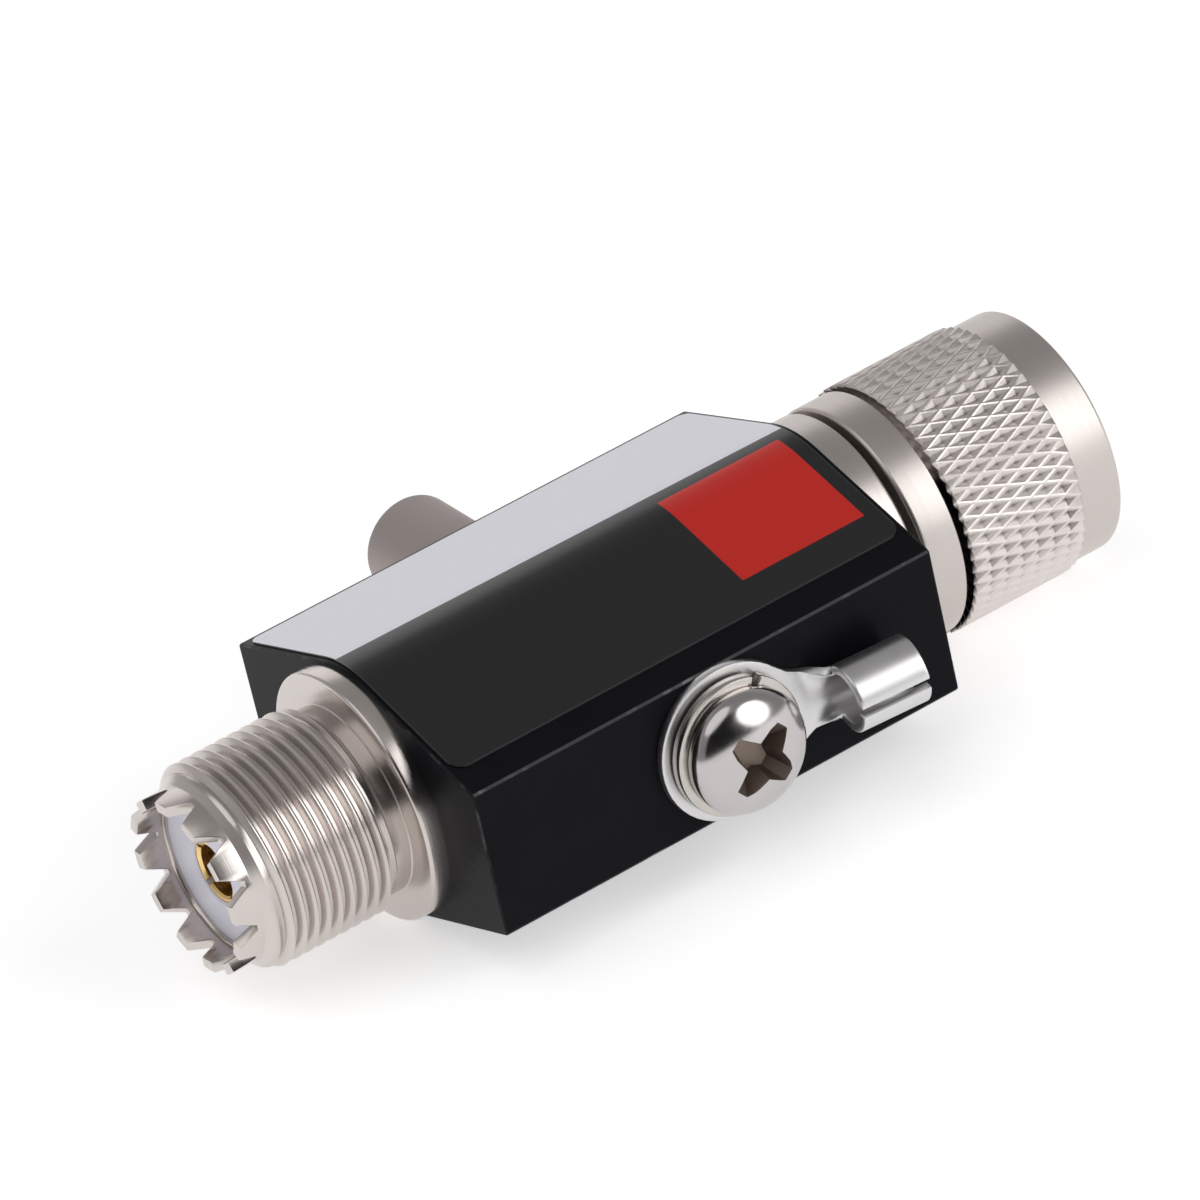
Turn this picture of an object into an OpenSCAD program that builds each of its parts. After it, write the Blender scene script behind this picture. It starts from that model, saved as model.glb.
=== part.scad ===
// Coax lightning arrestor: a flat-sided body with a threaded socket at one end, a plug with a
// coupling nut at the other, a gas tube under a screw cap on one side flat and an earth screw
// with a ring terminal on the other.
// X runs along the coax line from the socket to the plug, and Z is up. The origin is on that
// line, in the plane where the crown of a mating socket seats inside the plug.

/* [Body] */
// Length of the body along the coax line
body_l = 39; // [36:0.5:46]
// Width across the two side flats
body_w = 30.6; // [28:0.2:36]
// Height of each side flat
flat_h = 11.6; // [10:0.2:13]
// Step from the socket flange up to the rounded ridges
ridge_step = 0.3; // [0.1:0.05:0.8]
// Chamfer along the long edges of the side flats
edge_break = 0.12; // [0.08:0.02:0.4]
// Step from the connectors' spigots down to the coaxial cavity
cavity_step = 1.5; // [1:0.1:2]
// Place of the cap and the earth screw, from the socket end of the body
cross_d = 20.1; // [18:0.1:22]

/* [Label] */
// Thickness of the label film
label_t = 0.12; // [0.08:0.02:0.2]
// Bare margin between the label and each end of the body
label_end = 0.4; // [0.2:0.1:2]
// Edge of the label on the screw side, from the middle of the body
label_near = 12.9; // [10:0.1:13.4]
// Edge of the label on the cap side, from the middle of the body
label_far = 14.6; // [10:0.1:14.8]
// Corner radius of the label
label_corner_r = 1.2; // [0.5:0.1:2]

/* [Socket] */
// Outer radius of the socket thread
thread_r = 7.94; // [7.8:0.01:8]
// Length of the socket thread
thread_l = 9; // [8:0.1:11]
// Depth of the plain relief behind the thread
relief_h = 0.74; // [0.5:0.02:0.9]
// Length of the plain relief behind the thread
relief_l = 1.8; // [1:0.1:2.2]
// Step from the socket thread out to the edge of the flange
flange_w = 1.66; // [1:0.02:2]
// Thickness of the socket flange
flange_t = 1.5; // [1.2:0.1:2.5]
// Height of the bevel between the thread and the toothed crown
bevel_h = 1.19; // [0.9:0.01:1.4]
// Wall of the toothed crown
crown_wall = 0.85; // [0.6:0.05:1.1]
// Height of the crown above the thread's front end
crown_h = 3.3; // [3:0.1:4]
// Number of teeth in the crown
crown_teeth = 12; // [8:1:14]
// Depth of the notches between the teeth
notch_h = 1.6; // [1:0.1:1.9]
// Width of a notch at its floor
notch_floor = 0.5; // [0.3:0.1:0.8]
// Width of a notch at the tips of the teeth
notch_top = 2; // [1.4:0.1:2.2]
// Turn of the first notch from the upper ridge
notch_turn = 11; // [0:1:29]
// Depth of the insulator's face below the tips of the teeth
insulator_sink = 2.35; // [1.8:0.05:3]
// Outer radius of the socket contact
contact_r = 2.35; // [2.3:0.01:2.6]
// Bore of the socket contact
contact_bore_r = 1.98; // [1.95:0.01:2.05]
// Depth of the bore of the socket contact
contact_bore_l = 9; // [8:0.1:11]
// Width of the slots between the contact's fingers
finger_gap = 0.45; // [0.3:0.05:0.6]
// Length of the contact's fingers
finger_l = 5.5; // [4:0.1:7]

/* [Plug] */
// Distance from the body to the seat of a mating socket
plug_reach = 8.5; // [8.2:0.1:10]
// Step from the socket flange down to the plug collar
collar_step = 0.1; // [0:0.05:0.5]
// Length of the collar
collar_l = 2.45; // [2:0.05:3]
// Clearance between the nut's thread and the nose inside it
nose_gap = 0.86; // [0.76:0.02:1]
// Wall of the nose
nose_wall = 1.1; // [0.9:0.05:1.4]
// Height of the lugs on the nose
lug_h = 0.9; // [0.6:0.1:1.2]
// Number of lugs on the nose
lug_count = 4; // [2:1:6]
// Radius of the centre pin
pin_r = 1.98; // [1.95:0.01:2]
// Reach of the centre pin past the seat
pin_l = 10.4; // [9:0.1:11.2]

/* [Coupling nut] */
// Length of the coupling nut
nut_l = 16.9; // [15:0.1:19]
// Gap between the collar and the nut
nut_gap = 0.55; // [0.3:0.05:0.7]
// Height of the smooth rear band over the collar
rear_band_step = 0.08; // [0:0.02:0.3]
// Length of the smooth rear band
rear_band_l = 2.9; // [2:0.1:4]
// Width of the groove between the rear band and the knurl
groove_l = 0.65; // [0.4:0.05:1]
// Depth of that groove below the rear band
groove_h = 0.78; // [0.4:0.02:0.9]
// Height of the knurl over the collar
knurl_step = 0.34; // [0.2:0.02:0.6]
// Height of the smooth front band over the collar
front_band_step = 0; // [-0.1:0.02:0.2]
// Length of the smooth front band
front_band_l = 3.5; // [2:0.1:5]
// Depth of the nut's thread crests below the socket thread's
nut_thread_h = 0.48; // [0.4:0.02:0.56]

/* [Gas tube and cap] */
// Radius of the gas tube
tube_r = 2.75; // [2.5:0.05:2.8]
// Length of the gas tube over its electrodes
tube_l = 6; // [5:0.1:7]
// Radius of the tube cap
cap_r = 3.84; // [3.7:0.02:4]
// Length of the cap outside the body
cap_out = 10.5; // [8:0.1:12]
// Length of the cap's thread inside the body
cap_in = 7.8; // [6:0.1:8.2]
// Bore of the cap
cap_bore_r = 3; // [2.9:0.02:3.1]
// Turns of the contact spring
spring_turns = 9; // [6:1:11]
// Wire diameter of the contact spring
spring_wire = 0.5; // [0.4:0.05:0.6]

/* [Earth screw and terminal] */
// Radius of the screw thread
screw_r = 2.44; // [2.3:0.01:2.5]
// Length of the screw under its head
screw_l = 8.4; // [7:0.1:9]
// Radius of the screw head
head_r = 4.65; // [4.3:0.05:5]
// Height of the screw head
head_h = 2.9; // [2.4:0.1:3.6]
// Height of the straight rim of the head
head_rim = 0.7; // [0.6:0.05:1.4]
// Span of the cross recess
recess_span = 5; // [4:0.1:5.6]
// Width of a wing of the cross recess
recess_w = 1.2; // [0.8:0.05:1.4]
// Depth of the cross recess
recess_h = 2; // [1.5:0.1:2.2]
// Turn of the cross recess
recess_turn = 50; // [0:1:89]
// Outer radius of the spring washer
washer_r = 5.2; // [4.5:0.05:5.4]
// Thickness of the spring washer
washer_t = 0.9; // [0.8:0.05:1.2]
// Height difference between the washer's two ends
washer_rise = 0.2; // [0.1:0.05:0.4]
// Outer radius of the terminal's ring
ring_r = 5.9; // [5.5:0.05:6.2]
// Thickness of the terminal's sheet
sheet_t = 0.7; // [0.5:0.05:0.9]
// Width of the terminal's neck
neck_w = 5; // [4.4:0.1:5.4]
// Radius of the curves between ring and neck
neck_curve_r = 5; // [4:0.1:6]
// Outer radius of the terminal's barrel
barrel_r = 2.55; // [2.4:0.05:2.7]
// Length of the terminal's barrel
barrel_l = 5.5; // [4.5:0.1:9]
// Lift of the barrel away from the body
barrel_tilt = 5; // [2:0.5:8]
// Turn of the barrel's seam from the outer side
seam_turn = 50; // [0:5:80]

/* [Hidden] */
$fn = 96;

// Cut-through allowance, slip fit within the assembly, running fit, and play of a flat seat
over = 0.5;
slip = 0.01;
run = 0.06;
seat = 0.03;

// Ends of the body, the cross axis, and the spigots that fix socket and plug in the body
body_x1 = -plug_reach;
body_x0 = body_x1 - body_l;
cross_x = body_x0 + cross_d;
flange_r = thread_r + flange_w;
ridge_r = flange_r + ridge_step;
spigot_r = thread_r + 0.06;
spigot_l = 6;
cavity_r = spigot_r - cavity_step;
spigot_lip_r = spigot_r - 3;
spigot_lip_l = 1.2;

// Roof angle where a roof face leaves the ridge's arc
corner = [body_w / 2, flat_h / 2];
roof_a = atan2(corner[1], corner[0]) + acos(ridge_r / norm(corner));

// Stations of the socket, counted outwards from the body
thread_d0 = flange_t + relief_l;
thread_d1 = thread_d0 + thread_l;
crown_d = thread_d1 + crown_h;
insulator_d = crown_d - insulator_sink;
contact_d = insulator_d - 0.15;
edge_r = 0.3;
relief_r = thread_r - relief_h;
crown_r = thread_r - bevel_h;
crown_bore_r = crown_r - crown_wall;

// Stations of the plug, counted outwards from the body
nut_bore_r = thread_r - nut_thread_h;
nose_r = nut_bore_r - nose_gap;
nose_bore_r = nose_r - nose_wall;
collar_r = flange_r - collar_step;
rear_band_r = collar_r + rear_band_step;
groove_r = rear_band_r - groove_h;
knurl_r = collar_r + knurl_step;
front_band_r = collar_r + front_band_step;
nut_d0 = collar_l + nut_gap;
nut_d1 = nut_d0 + nut_l;
nut_lip_l = 1.95;
ring_d = nut_d0 + nut_lip_l + 0.13;
ring_t = 0.5;
ring_out = 0.7;
ring_groove = 0.5;
plug_face_x = -0.4;
pin_root_r = pin_r + 0.25;
pin_tip_l = 1.4;
pin_tip_r = 0.9;

// The stubs that join contact, conductor and pin
conductor_r = 2.8;
stub_r = 1.2;
stub_l = 3.9;
conductor_gap = 0.3;
conductor_flat = 2.4;

// The tube and the spring on the cross axis
tube_y = conductor_flat + 2 * slip;
tube_flange_t = 0.8;
tube_nose_r = 1.5;
tube_spark_gap = 0.9;
tube_wall = 0.7;
cap_y0 = body_w / 2 - cap_in;
cap_y1 = body_w / 2 + cap_out;
cap_end_t = 2;
cap_edge_r = 0.6;
cap_slot_w = 1.2;
cap_slot_h = 1;
spring_r = cap_bore_r - spring_wire / 2 - 0.2;
spring_y0 = tube_y + tube_l + seat + spring_wire / 2;
spring_y1 = cap_y1 - cap_end_t - seat - spring_wire / 2;

// The stack on the earth side, counted outwards from the side flat
washer_z0 = seat + sheet_t + seat;
head_z0 = washer_z0 + washer_t + washer_rise + seat;
screw_hole_l = screw_l - head_z0 + 0.8;
washer_bore_r = screw_r + 0.2;
washer_gap_a = 9;
neck_x = sqrt(pow(ring_r + neck_curve_r, 2) - pow(neck_w / 2 + neck_curve_r, 2));
scoop_l = 1.3;
scoop_thin = 0.2;
barrel_x0 = neck_x + 0.6;
barrel_bore_r = barrel_r - sheet_t;
seam_w = 0.15;

function socket_x(d) = body_x0 - d;
function plug_x(d) = body_x1 + d;
function arc(c, r, a0, a1, n = 6) =
    [for (i = [0 : n]) c + r * [cos(a0 + (a1 - a0) * i / n), sin(a0 + (a1 - a0) * i / n)]];

// A piece turned about the coax line, from points of place along X and radius
module turned_x(points) {
    rotate([0, 90, 0])
        rotate_extrude()
            polygon([for (p = points) [p[1], p[0]]]);
}

// A piece turned about the cross axis, from points of place along Y and radius
module turned_y(points) {
    translate([cross_x, 0, 0])
        rotate([-90, 0, 0])
            rotate_extrude()
                polygon([for (p = points) [p[1], p[0]]]);
}

// A tube swept along a row of section rings, closed at both ends
module swept(rings) {
    m = len(rings[0]);
    n = len(rings);
    sides = [for (i = [0 : n - 2]) for (j = [0 : m - 1])
        [i * m + j, (i + 1) * m + j, (i + 1) * m + (j + 1) % m, i * m + (j + 1) % m]];
    first = [for (j = [0 : m - 1]) j];
    last = [for (j = [m - 1 : -1 : 0]) (n - 1) * m + j];
    polyhedron([for (ring = rings) each ring], concat([first, last], sides), convexity = 6);
}

// Cross-section of the body, grown outwards on its upper and lower faces
module body_section(grow = 0) {
    cut = edge_break + grow;
    half = [body_w / 2, flat_h / 2 + grow / sin(roof_a)];
    along = [sin(roof_a), -cos(roof_a)];
    quarter = [
        [half[0], half[1] - cut],
        half - cut * along,
        each arc([0, 0], ridge_r + grow, roof_a, 90, 8)
    ];
    upper = concat(quarter, [for (i = [len(quarter) - 2 : -1 : 0]) [-quarter[i][0], quarter[i][1]]]);
    polygon(concat(upper, [for (p = upper) -p]));
}

module along_x(x0, x1) {
    translate([x0, 0, 0])
        rotate([90, 0, 90])
            linear_extrude(x1 - x0)
                children();
}

// Body

module hex_body() {
    color([0.13, 0.13, 0.14])
        difference() {
            along_x(body_x0, body_x1) body_section();
            turned_x([
                [body_x0 - over, 0],
                [body_x0 - over, spigot_r + slip],
                [body_x0 + spigot_l + slip, spigot_r + slip],
                [body_x0 + spigot_l + slip, cavity_r],
                [body_x1 - spigot_l - slip, cavity_r],
                [body_x1 - spigot_l - slip, spigot_r + slip],
                [body_x1 + over, spigot_r + slip],
                [body_x1 + over, 0]
            ]);
            turned_y([[0, 0], [0, cap_r + run], [body_w / 2 + over, cap_r + run], [body_w / 2 + over, 0]]);
            screw_hole();
        }
}

module screw_hole() {
    hole_r = screw_r + run;
    turned_y([
        [-body_w / 2 - over, 0],
        [-body_w / 2 - over, hole_r],
        [-body_w / 2 + screw_hole_l, hole_r],
        [-body_w / 2 + screw_hole_l + hole_r / 2, 0]
    ]);
}

module body_label() {
    color([0.1, 0.1, 0.11])
        intersection() {
            difference() {
                along_x(body_x0, body_x1) body_section(label_t);
                along_x(body_x0 - over, body_x1 + over) body_section();
            }
            linear_extrude(2 * ridge_r)
                label_outline();
        }
}

module label_outline() {
    x0 = body_x0 + label_end + label_corner_r;
    x1 = body_x1 - label_end - label_corner_r;
    y0 = -label_near + label_corner_r;
    y1 = label_far - label_corner_r;
    polygon([
        each arc([x1, y1], label_corner_r, 0, 90),
        each arc([x0, y1], label_corner_r, 90, 180),
        each arc([x0, y0], label_corner_r, 180, 270),
        each arc([x1, y0], label_corner_r, 270, 360)
    ]);
}

// Socket

module socket_shell() {
    color([0.75, 0.73, 0.7])
        difference() {
            turned_x([
                [socket_x(-spigot_l), spigot_lip_r],
                [socket_x(-spigot_l), spigot_r],
                [body_x0, spigot_r],
                [body_x0, flange_r],
                each arc([socket_x(flange_t - edge_r), flange_r - edge_r], edge_r, 90, 180),
                [socket_x(flange_t), relief_r],
                [socket_x(thread_d0 - relief_h), relief_r],
                [socket_x(thread_d0), thread_r],
                [socket_x(thread_d1), thread_r],
                [socket_x(thread_d1 + bevel_h), crown_r],
                [socket_x(crown_d), crown_r],
                [socket_x(crown_d), crown_bore_r],
                [socket_x(-spigot_l + spigot_lip_l), crown_bore_r],
                [socket_x(-spigot_l + spigot_lip_l), spigot_lip_r]
            ]);
            for (k = [0 : crown_teeth - 1])
                rotate([notch_turn + 360 / crown_teeth * k, 0, 0])
                    crown_notch();
        }
}

module crown_notch() {
    flare = over * (notch_top - notch_floor) / notch_h / 2;
    translate([0, 0, crown_bore_r - over])
        linear_extrude(crown_r - crown_bore_r + 2 * over)
            polygon([
                [socket_x(crown_d - notch_h), -notch_floor / 2],
                [socket_x(crown_d - notch_h), notch_floor / 2],
                [socket_x(crown_d + over), notch_top / 2 + flare],
                [socket_x(crown_d + over), -notch_top / 2 - flare]
            ]);
}

module socket_insulator() {
    color([0.93, 0.93, 0.95])
        turned_x([
            [socket_x(-spigot_l + spigot_lip_l + slip), contact_r + slip],
            [socket_x(-spigot_l + spigot_lip_l + slip), crown_bore_r - slip],
            [socket_x(insulator_d), crown_bore_r - slip],
            [socket_x(insulator_d), contact_r + slip]
        ]);
}

module socket_contact() {
    bore_end = contact_d - contact_bore_l;
    mouth = 0.2;
    rear_x = body_x0 + spigot_l;
    color([0.86, 0.68, 0.3])
        difference() {
            turned_x([
                [rear_x + stub_l, 0],
                [rear_x + stub_l, stub_r],
                [rear_x, stub_r],
                [rear_x, contact_r],
                [socket_x(contact_d), contact_r],
                [socket_x(contact_d), contact_bore_r + mouth],
                [socket_x(contact_d - mouth), contact_bore_r],
                [socket_x(bore_end), contact_bore_r],
                [socket_x(bore_end - contact_bore_r / 2), 0]
            ]);
            for (k = [0 : 1])
                rotate([45 + 90 * k, 0, 0])
                    translate([socket_x(contact_d) - over, -contact_r - over, -finger_gap / 2])
                        cube([finger_l + over, 2 * (contact_r + over), finger_gap]);
        }
}

// Centre line

module centre_conductor() {
    x0 = body_x0 + spigot_l + conductor_gap;
    x1 = body_x1 - spigot_l - conductor_gap;
    flat_l = 2 * tube_r + 1;
    color([0.8, 0.65, 0.35])
        difference() {
            turned_x([
                [x0, stub_r + slip],
                [x0, conductor_r],
                [x1, conductor_r],
                [x1, stub_r + slip],
                [x1 - stub_l, stub_r + slip],
                [x1 - stub_l, 0],
                [x0 + stub_l, 0],
                [x0 + stub_l, stub_r + slip]
            ]);
            translate([cross_x - flat_l / 2, conductor_flat, -conductor_r])
                cube([flat_l, conductor_r, 2 * conductor_r]);
        }
}

// Plug

module plug_shell() {
    groove_x0 = plug_x(ring_d - slip);
    groove_x1 = plug_x(ring_d + ring_t + slip);
    color([0.75, 0.73, 0.7]) {
        turned_x([
            [plug_x(-spigot_l), spigot_lip_r],
            [plug_x(-spigot_l), spigot_r],
            [body_x1, spigot_r],
            [body_x1, collar_r],
            each arc([plug_x(collar_l - edge_r), collar_r - edge_r], edge_r, 90, 0),
            [plug_x(collar_l), nose_r],
            [groove_x0, nose_r],
            [groove_x0, nose_r - ring_groove],
            [groove_x1, nose_r - ring_groove],
            [groove_x1, nose_r],
            [0, nose_r],
            [0, nose_bore_r],
            [plug_x(-spigot_l + spigot_lip_l), nose_bore_r],
            [plug_x(-spigot_l + spigot_lip_l), spigot_lip_r]
        ]);
        intersection() {
            turned_x([[-over, nose_bore_r], [-over, nose_r], [lug_h, nose_r], [lug_h, nose_bore_r]]);
            for (k = [0 : lug_count - 1])
                rotate([360 / lug_count * k, 0, 0])
                    linear_extrude(2 * nose_r)
                        polygon([[-over, -0.8], [-over, 0.8], [lug_h, 0.4], [lug_h, -0.4]]);
        }
    }
}

module plug_insulator() {
    color([0.93, 0.93, 0.95])
        turned_x([
            [plug_x(-spigot_l + spigot_lip_l + slip), pin_root_r + slip],
            [plug_x(-spigot_l + spigot_lip_l + slip), nose_bore_r - slip],
            [plug_face_x, nose_bore_r - slip],
            [plug_face_x, pin_root_r + slip]
        ]);
}

module plug_pin() {
    rear_x = body_x1 - spigot_l;
    color([0.75, 0.73, 0.7])
        turned_x([
            [rear_x - stub_l, 0],
            [rear_x - stub_l, stub_r],
            [rear_x, stub_r],
            [rear_x, pin_root_r],
            [plug_face_x, pin_root_r],
            [plug_face_x, pin_r],
            [pin_l - pin_tip_l, pin_r],
            [pin_l - pin_tip_l / 3, pin_tip_r + (pin_r - pin_tip_r) * 0.45],
            [pin_l, pin_tip_r / 2],
            [pin_l, 0]
        ]);
}

module retaining_ring() {
    opening = 5;
    color([0.6, 0.6, 0.6])
        difference() {
            turned_x([
                [plug_x(ring_d), nose_r - ring_groove + slip],
                [plug_x(ring_d), nose_r + ring_out],
                [plug_x(ring_d + ring_t), nose_r + ring_out],
                [plug_x(ring_d + ring_t), nose_r - ring_groove + slip]
            ]);
            translate([plug_x(ring_d) - over, -opening / 2, -2 * nose_r])
                cube([ring_t + 2 * over, opening, 2 * nose_r]);
        }
}

module coupling_nut() {
    lip_r = nose_r + run;
    inner_relief_r = nut_bore_r + 0.6;
    inner_relief_l = 2.4;
    mouth = 0.7;
    knurl_d0 = nut_d0 + rear_band_l + groove_l;
    knurl_d1 = nut_d1 - front_band_l;
    knurl_bevel = knurl_r - front_band_r;
    color([0.75, 0.73, 0.7])
        turned_x([
            [plug_x(nut_d0), lip_r],
            each arc([plug_x(nut_d0 + edge_r), rear_band_r - edge_r], edge_r, 180, 90),
            [plug_x(nut_d0 + rear_band_l), rear_band_r],
            [plug_x(nut_d0 + rear_band_l), groove_r],
            [plug_x(knurl_d0), groove_r],
            [plug_x(knurl_d0), knurl_r],
            [plug_x(knurl_d1), knurl_r],
            [plug_x(knurl_d1 + knurl_bevel), front_band_r],
            each arc([plug_x(nut_d1 - edge_r), front_band_r - edge_r], edge_r, 90, 0),
            [plug_x(nut_d1), nut_bore_r + mouth],
            [plug_x(nut_d1 - mouth), nut_bore_r],
            [plug_x(nut_d0 + nut_lip_l + inner_relief_l), nut_bore_r],
            [plug_x(nut_d0 + nut_lip_l + inner_relief_l), inner_relief_r],
            [plug_x(nut_d0 + nut_lip_l), inner_relief_r],
            [plug_x(nut_d0 + nut_lip_l), lip_r]
        ]);
}

// Gas tube and cap

module tube_electrode(y0, direction) {
    nose_l = (tube_l - tube_spark_gap) / 2;
    flange_in = 0.2;
    color([0.78, 0.77, 0.74])
        turned_y([
            [y0, 0],
            [y0, tube_r - flange_in],
            [y0 + direction * tube_flange_t, tube_r - flange_in],
            [y0 + direction * tube_flange_t, tube_nose_r],
            [y0 + direction * nose_l, tube_nose_r],
            [y0 + direction * nose_l, 0]
        ]);
}

module tube_inner_electrode() {
    tube_electrode(tube_y, 1);
}

module tube_outer_electrode() {
    tube_electrode(tube_y + tube_l, -1);
}

module tube_ceramic() {
    y0 = tube_y + tube_flange_t;
    y1 = tube_y + tube_l - tube_flange_t;
    color([0.9, 0.88, 0.84])
        turned_y([[y0, tube_r - tube_wall], [y0, tube_r], [y1, tube_r], [y1, tube_r - tube_wall]]);
}

module contact_spring() {
    steps = 16 * spring_turns;
    sides = 6;
    rings = [for (i = [0 : steps])
        let (a = 360 * spring_turns * i / steps, y = spring_y0 + (spring_y1 - spring_y0) * i / steps)
        [for (j = [0 : sides - 1])
            let (b = 360 * j / sides, r = spring_r + spring_wire / 2 * cos(b))
            [cross_x + r * cos(a), y + spring_wire / 2 * sin(b), r * sin(a)]]];
    color([0.7, 0.7, 0.72])
        swept(rings);
}

module tube_cap() {
    color([0.72, 0.7, 0.68])
        difference() {
            turned_y([
                [cap_y0, cap_bore_r],
                [cap_y0, cap_r - edge_r],
                [cap_y0 + edge_r, cap_r],
                each arc([cap_y1 - cap_edge_r, cap_r - cap_edge_r], cap_edge_r, 90, 0),
                [cap_y1, 0],
                [cap_y1 - cap_end_t, 0],
                [cap_y1 - cap_end_t, cap_bore_r]
            ]);
            translate([cross_x - cap_r - over, cap_y1 - cap_slot_h, -cap_slot_w / 2])
                cube([2 * (cap_r + over), cap_slot_h + over, cap_slot_w]);
        }
}

// Earth screw and terminal

module ground_screw() {
    under = -body_w / 2 - head_z0;
    dome_h = head_h - head_rim;
    tip = 0.5;
    color([0.82, 0.82, 0.82])
        difference() {
            turned_y([
                [under + screw_l, 0],
                [under + screw_l, screw_r - tip],
                [under + screw_l - tip, screw_r],
                [under, screw_r],
                [under, head_r - edge_r],
                [under - edge_r, head_r],
                for (a = [0 : 7.5 : 90]) [under - head_rim - dome_h * sin(a), head_r * cos(a)]
            ]);
            translate([cross_x, under - head_h, 0])
                rotate([0, recess_turn, 0])
                    cross_recess();
        }
}

module cross_recess() {
    floor_span = 0.45 * recess_span;
    rotate([-90, 0, 0])
        cylinder(h = recess_h, r1 = 0.34 * recess_span, r2 = 0.5 * recess_w);
    for (k = [0 : 1])
        rotate([0, 90 * k, 0])
            translate([0, 0, -recess_w / 2])
                linear_extrude(recess_w)
                    polygon([
                        [-recess_span / 2, -over],
                        [recess_span / 2, -over],
                        [recess_span / 2, 0],
                        [floor_span / 2, recess_h],
                        [-floor_span / 2, recess_h],
                        [-recess_span / 2, 0]
                    ]);
}

module spring_washer() {
    steps = 40;
    rings = [for (i = [0 : steps])
        let (u = i / steps, a = 62 - washer_gap_a / 2 - (360 - washer_gap_a) * u)
        let (y = -body_w / 2 - washer_z0 - washer_rise * u)
        [for (p = [[washer_bore_r, 0], [washer_r, 0], [washer_r, washer_t], [washer_bore_r, washer_t]])
            [cross_x + p[0] * cos(a), y - p[1], p[0] * sin(a)]]];
    color([0.78, 0.77, 0.75])
        swept(rings);
}

module ring_terminal() {
    color([0.8, 0.79, 0.78])
        translate([cross_x, -body_w / 2 - seat, 0])
            rotate([90, 0, 0]) {
                difference() {
                    union() {
                        cylinder(h = sheet_t, r = ring_r);
                        linear_extrude(sheet_t)
                            neck_outline();
                    }
                    translate([0, 0, -over])
                        cylinder(h = sheet_t + 2 * over, r = washer_bore_r);
                }
                barrel_place()
                    terminal_barrel();
            }
}

// The neck, with hollow curves towards the ring
module neck_outline() {
    curve_c = [neck_x, neck_w / 2 + neck_curve_r];
    curve = arc(curve_c, neck_curve_r, 180 + atan2(curve_c[1], curve_c[0]), 270, 8);
    upper = [
        [0.5 * ring_r, 0.5 * ring_r],
        0.98 * curve[0],
        for (i = [1 : 8]) curve[i],
        [barrel_x0 + 0.2, neck_w / 2]
    ];
    polygon(concat(upper, [for (i = [len(upper) - 1 : -1 : 0]) [upper[i][0], -upper[i][1]]]));
}

// Brings the barrel's own axis onto the neck, leaning away from the body
module barrel_place() {
    translate([barrel_x0, 0, scoop_l * sin(barrel_tilt) + 2 * slip])
        rotate([0, -barrel_tilt, 0])
            translate([0, 0, barrel_r])
                rotate([0, 90, 0])
                    rotate([0, 0, 180])
                        children();
}

// A rolled tube with an open seam, cut away behind its mouth so that it runs into the neck
module terminal_barrel() {
    difference() {
        translate([0, 0, -scoop_l])
            cylinder(h = scoop_l + barrel_l, r = barrel_r);
        cylinder(h = barrel_l + over, r = barrel_bore_r);
        translate([0, 0, -scoop_l - over])
            cylinder(h = scoop_l + over, r = barrel_bore_r + scoop_thin);
        rotate([0, 0, seam_turn])
            translate([0, -seam_w / 2, -scoop_l - over])
                cube([barrel_r + over, seam_w, scoop_l + barrel_l + 2 * over]);
        translate([0, barrel_r + over, 0])
            rotate([90, 0, 0])
                linear_extrude(2 * (barrel_r + over))
                    polygon([
                        [barrel_r + over, 0],
                        [0, 0],
                        [-barrel_r + sheet_t + 0.1, -scoop_l],
                        [-barrel_r + sheet_t + 0.1, -scoop_l - over],
                        [barrel_r + over, -scoop_l - over]
                    ]);
    }
}

hex_body();
body_label();
socket_shell();
socket_insulator();
socket_contact();
centre_conductor();
plug_shell();
plug_insulator();
plug_pin();
retaining_ring();
coupling_nut();
tube_inner_electrode();
tube_ceramic();
tube_outer_electrode();
contact_spring();
tube_cap();
ground_screw();
spring_washer();
ring_terminal();
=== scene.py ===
"""Looks of the coax lightning arrestor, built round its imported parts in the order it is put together."""

import math

import bmesh
import bpy
from mathutils import Matrix, Vector


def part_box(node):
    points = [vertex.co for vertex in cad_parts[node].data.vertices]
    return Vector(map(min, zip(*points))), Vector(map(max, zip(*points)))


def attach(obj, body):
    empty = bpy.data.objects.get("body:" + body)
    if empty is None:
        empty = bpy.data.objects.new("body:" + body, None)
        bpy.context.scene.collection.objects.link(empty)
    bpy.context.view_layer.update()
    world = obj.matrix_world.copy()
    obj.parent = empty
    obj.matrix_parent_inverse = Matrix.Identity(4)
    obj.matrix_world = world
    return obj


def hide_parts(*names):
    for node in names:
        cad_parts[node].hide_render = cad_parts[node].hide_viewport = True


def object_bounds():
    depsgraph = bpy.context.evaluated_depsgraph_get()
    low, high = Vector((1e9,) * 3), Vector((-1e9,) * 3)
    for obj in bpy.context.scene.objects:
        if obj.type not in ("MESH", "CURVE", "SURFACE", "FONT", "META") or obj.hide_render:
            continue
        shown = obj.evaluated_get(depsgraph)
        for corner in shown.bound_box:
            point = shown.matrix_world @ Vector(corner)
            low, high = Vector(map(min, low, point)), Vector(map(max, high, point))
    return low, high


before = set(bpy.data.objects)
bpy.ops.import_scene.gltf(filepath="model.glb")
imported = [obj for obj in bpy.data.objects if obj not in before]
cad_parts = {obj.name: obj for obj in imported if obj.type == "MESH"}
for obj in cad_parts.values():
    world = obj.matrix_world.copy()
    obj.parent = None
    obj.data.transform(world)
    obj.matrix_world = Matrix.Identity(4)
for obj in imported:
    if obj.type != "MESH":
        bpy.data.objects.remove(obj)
cad_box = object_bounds()

# Body
# A six-sided bar of aluminium with a rounded ridge above and below, bored along the coax line and across it.
# Its arrises are broken, and it is anodised satin black, which rubs bright first at the corners; a painted
# highlight line also runs along the edges.


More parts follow.
